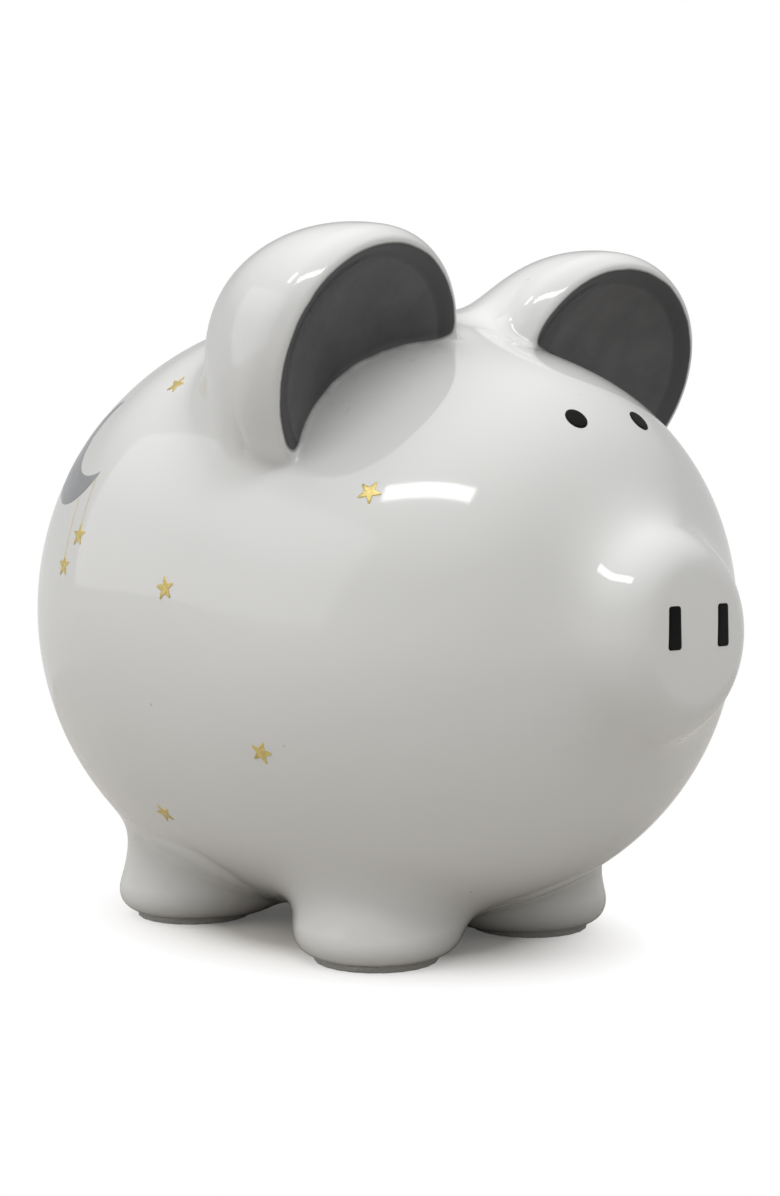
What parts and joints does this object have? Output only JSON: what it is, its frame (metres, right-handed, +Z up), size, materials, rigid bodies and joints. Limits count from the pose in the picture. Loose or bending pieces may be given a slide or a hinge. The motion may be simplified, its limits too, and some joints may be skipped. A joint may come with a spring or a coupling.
{
  "type": "piggy bank",
  "caption": "Pig-shaped glazed ceramic money bank with cupped ears, stub legs on felt pads, a coin slot in the back and a pull-out belly stopper.",
  "frame": {"origin": "centre of the bounding box in plan, on the surface the pads stand on", "axes": "+Z up; the pig faces -Y, so +Y runs from snout to tail; its right side is -X"},
  "size_m": [0.182, 0.2303, 0.2032],
  "materials": {
    "glaze": "gloss",
    "black_paint": "gloss",
    "grey_paint": "gloss",
    "gold_paint": "satin",
    "pad_felt": "matte",
    "stopper_rubber": "matte"
  },
  "bodies": {
    "pig": {"body_shell": "glaze", "ear_left": "glaze", "ear_right": "glaze", "leg_front_left": "glaze", "leg_front_right": "glaze", "leg_rear_left": "glaze", "leg_rear_right": "glaze", "tail": "glaze", "pad_front_left": "pad_felt", "pad_front_right": "pad_felt", "pad_rear_left": "pad_felt", "pad_rear_right": "pad_felt", "eye_left": "black_paint", "eye_right": "black_paint", "nostril_left": "black_paint", "nostril_right": "black_paint", "moon": "grey_paint", "moon_threads": "gold_paint", "gold_stars": "gold_paint"},
    "stopper": {"belly_stopper": "stopper_rubber"}
  },
  "joints": [
    {"name": "stopper_pull", "type": "slide", "parent": "pig", "child": "stopper", "axis": [0, 0, -1], "range_m": [0, 0.025]}
  ]
}
